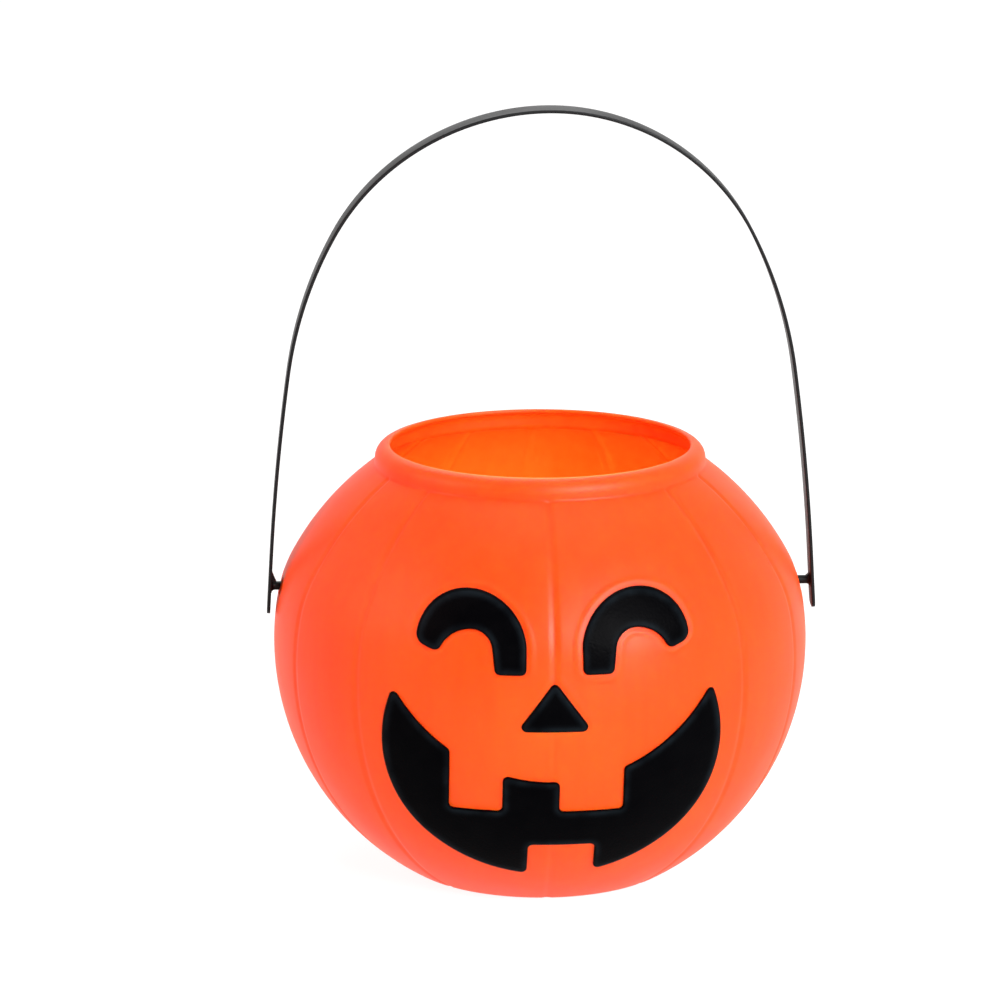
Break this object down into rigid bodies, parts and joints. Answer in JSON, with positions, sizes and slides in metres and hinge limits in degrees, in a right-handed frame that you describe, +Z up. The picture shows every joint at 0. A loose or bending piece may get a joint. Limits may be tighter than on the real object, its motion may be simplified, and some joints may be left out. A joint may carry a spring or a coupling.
{
  "type": "pumpkin candy pail",
  "caption": "Round pumpkin-shaped candy pail with moulded grooves, a raised jack-o'-lantern face, an open collared mouth and a strap handle that swings on pegs.",
  "frame": {"origin": "middle of the standing ring, on the plane that the pail stands on", "axes": "+Z up through the mouth, face towards -Y, handle pegs along X"},
  "size_m": [0.1638, 0.1611, 0.231],
  "materials": {
    "orange_polyethylene": "blow-moulded polyethylene, satin, slightly translucent",
    "black_strap_plastic": "injection-moulded, semi-gloss",
    "black_face_coat": "sprayed coat, semi-gloss"
  },
  "bodies": {
    "pail": {"pail_shell": "orange_polyethylene", "left_eye": "black_face_coat", "right_eye": "black_face_coat", "nose": "black_face_coat", "mouth": "black_face_coat"},
    "handle": {"handle": "black_strap_plastic"}
  },
  "joints": [
    {"name": "handle_swing", "type": "hinge", "parent": "pail", "child": "handle", "pos_m": [0, 0, 0.087], "axis": [1, 0, 0], "range_deg": [-124, 124]}
  ]
}
